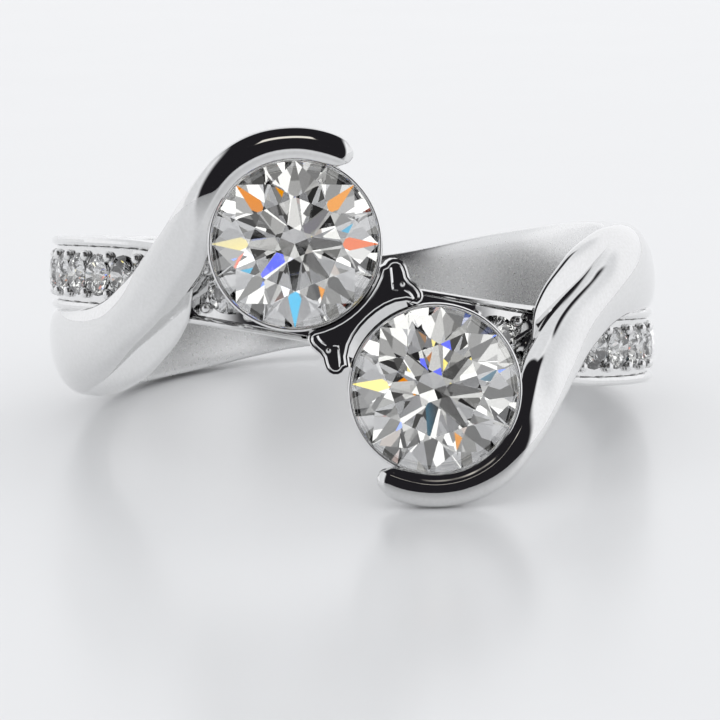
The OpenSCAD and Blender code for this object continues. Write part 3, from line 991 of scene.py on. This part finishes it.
# %% Its window and the cloth of the tent
# one window, ahead and above the camera: half its width, its lowest and highest edge, its softness
WINDOW_HALF_WIDTH, WINDOW_SILL, WINDOW_HEAD = 0.11, 0.45, 0.57
beside = eased(tree, sideways, WINDOW_HALF_WIDTH + 0.01, WINDOW_HALF_WIDTH - 0.01)
over_sill = eased(tree, xyz["Z"], WINDOW_SILL - 0.02, WINDOW_SILL + 0.02)
under_head = eased(tree, xyz["Z"], WINDOW_HEAD + 0.02, WINDOW_HEAD - 0.02)
window = maths(tree, "MULTIPLY", maths(tree, "MULTIPLY", over_sill, under_head), beside)
DARK, DAYLIGHT = (0.018, 0.017, 0.020, 1), (1.0, 0.95, 0.86, 1)
room = mixed(tree, window, DARK, DAYLIGHT)
folds = add(tree, "ShaderNodeTexNoise", {"Vector": direction, "Scale": 1.3, "Detail": 0.0})["Fac"]
cloth = ramp(tree, folds, [(0.32, (0.82, 0.83, 0.85)), (0.60, (1.03, 1.035, 1.055))], "EASE")
tent = mixed(tree, in_room, cloth, room)
print("window from", WINDOW_SILL, "to", WINDOW_HEAD)

# %% [markdown]
# ## What the brilliants see
# A brilliant gathers light from all round and sends a small piece of it to the eye from each facet.
# One even tent would leave it grey, so the rays that leave a stone meet a tent of panels instead:
# white, grey and dark ones, and a few lamps in the colours into which a diamond splits white light.

# %% Panels and coloured lamps
# where each kind of panel begins on a scale of chance, and how bright it is
GREYS = [(0.0, 0.03), (0.16, 0.11), (0.38, 0.30), (0.64, 0.68), (0.84, 1.5)]
# the same for the colours of the lamps
FIRE = [
    (0.0, (1.6, 0.45, 0.02)),
    (0.2, (1.6, 1.2, 0.15)),
    (0.36, (0.10, 1.1, 1.6)),
    (0.52, (0.06, 0.30, 1.6)),
    (0.68, (0.45, 0.15, 1.6)),
    (0.84, (1.6, 0.20, 0.03)),
]
panels = add(tree, "ShaderNodeTexVoronoi", {"Vector": direction, "Scale": 5.0})
chance = add(tree, "ShaderNodeSeparateColor", {"Color": panels["Color"]})
greys = [(at, (level, level, level * 0.97)) for at, level in GREYS]
greys = ramp(tree, chance["Red"], greys, "CONSTANT")
lamps = ramp(tree, chance["Blue"], FIRE, "CONSTANT")
# a tenth of the panels hold a lamp at their middle, but none within twenty degrees of the lens
is_lamp = maths(tree, "GREATER_THAN", chance["Green"], 0.90)
is_lamp = maths(tree, "MULTIPLY", is_lamp, eased(tree, panels["Distance"], 0.62, 0.30))
is_lamp = maths(tree, "MULTIPLY", is_lamp, eased(tree, xyz["Y"], -0.94, -0.90))
gathered = mixed(tree, is_lamp, greys, lamps)
print("kinds of panel:", len(GREYS), "colours of lamp:", len(FIRE))

# %% A ring of small lamps round the lens
# azimuth, elevation, half its width in degrees, colour
LENS_RING = [
    (-5, 18, 2.2, (1.15, 0.36, 0.0)),
    (7, 15, 2.4, (1.15, 0.42, 0.0)),
    (8, 9.5, 1.4, (1.1, 0.20, 0.02)),
    (-10.5, 8, 2.6, (1.6, 1.35, 0.40)),
    (1, 3, 1.8, (0.10, 0.75, 1.2)),
    (-9, 2, 2.2, (0.25, 0.30, 1.5)),
]
# a lamp is full inside this part of its half width and gone outside that one
FULL_INSIDE, GONE_OUTSIDE = 0.6, 1.25
for azimuth, elevation, half, colour in LENS_RING:
    sockets = {0: direction, 1: towards(azimuth, elevation)}
    facing = add(tree, "ShaderNodeVectorMath", sockets, operation="DOT_PRODUCT")["Value"]
    edge, core = (math.cos(math.radians(half * part)) for part in (GONE_OUTSIDE, FULL_INSIDE))
    gathered = mixed(tree, eased(tree, facing, edge, core), gathered, (*colour, 1))
sky = mixed(tree, ray["Is Transmission Ray"], tent, gathered)
fill(tree.nodes["Background"], {"Color": sky})
print("lamps round the lens:", len(LENS_RING))

# %% [markdown]
# ## The camera
# The photo was taken from close to level, with a long lens. The camera's place is worked out in the
# ring's upright frame and laid down with it, so that the ring stays put in the picture. The ring
# lies a little off the middle of the picture, so the camera moves sideways by as much.

# %% The camera
camera_data = bpy.data.cameras.new("camera")
camera_data.lens = 178.15
camera_data.sensor_width = 36.0
camera_data.clip_start = 0.01
camera = new_object("camera", camera_data)
DISTANCE = 121.0
to_camera = Vector((-0.03777, -0.99838, 0.04273)).normalized()
right = Vector((0.99929, -0.0378, 0.0)).normalized()
up = to_camera.cross(right).normalized()
# the ring's centre lies at this place of the 720 pixel wide frame
CENTRE_PX, MIDDLE_PX, FOCAL_PX = (352.2, 307.0), 360, 3563.0
eye = DISTANCE * to_camera
eye -= right * (CENTRE_PX[0] - MIDDLE_PX) / FOCAL_PX * DISTANCE
eye += up * (CENTRE_PX[1] - MIDDLE_PX) / FOCAL_PX * DISTANCE
laid_down = REST.to_3x3() * 1000
facing = Matrix((right, up, to_camera)).transposed()
camera.matrix_world = Matrix.Translation(REST @ eye) @ (laid_down @ facing).to_4x4()
bpy.context.scene.camera = camera
bpy.context.scene.view_settings.view_transform = "Standard"
print("camera at", tuple(round(v * 1000, 1) for v in camera.matrix_world.translation), "mm")

# %% [markdown]
# ## The lamps
# The tent gives most of the light. Three large soft lamps add the faint shadows round the ring's
# foot. They are hidden from the metal, which already has its reflections.

# %% Hang the lamps
RING_MIDDLE = Vector((0, 0, 0.006))
# azimuth, elevation, distance and size in metres, power, colour
LAMPS = {
    "overhead": (0, 82, 0.4, 0.30, 0.05, (1, 1, 1)),
    "front": (-8, 42, 0.5, 0.40, 0.13, (1, 1, 1)),
    "behind": (150, 50, 0.5, 0.30, 0.20, (1, 0.98, 0.95)),
}
for name, (azimuth, elevation, distance, size, power, colour) in LAMPS.items():
    data = bpy.data.lights.new(name, "AREA")
    data.size = size
    data.energy = power
    data.color = colour
    lamp = new_object(name, data)
    from_ring = towards(azimuth, elevation)
    lamp.location = RING_MIDDLE + from_ring * distance
    lamp.rotation_euler = from_ring.to_track_quat("Z", "Y").to_euler()
    lamp.visible_glossy = False
print("lamps:", list(LAMPS))
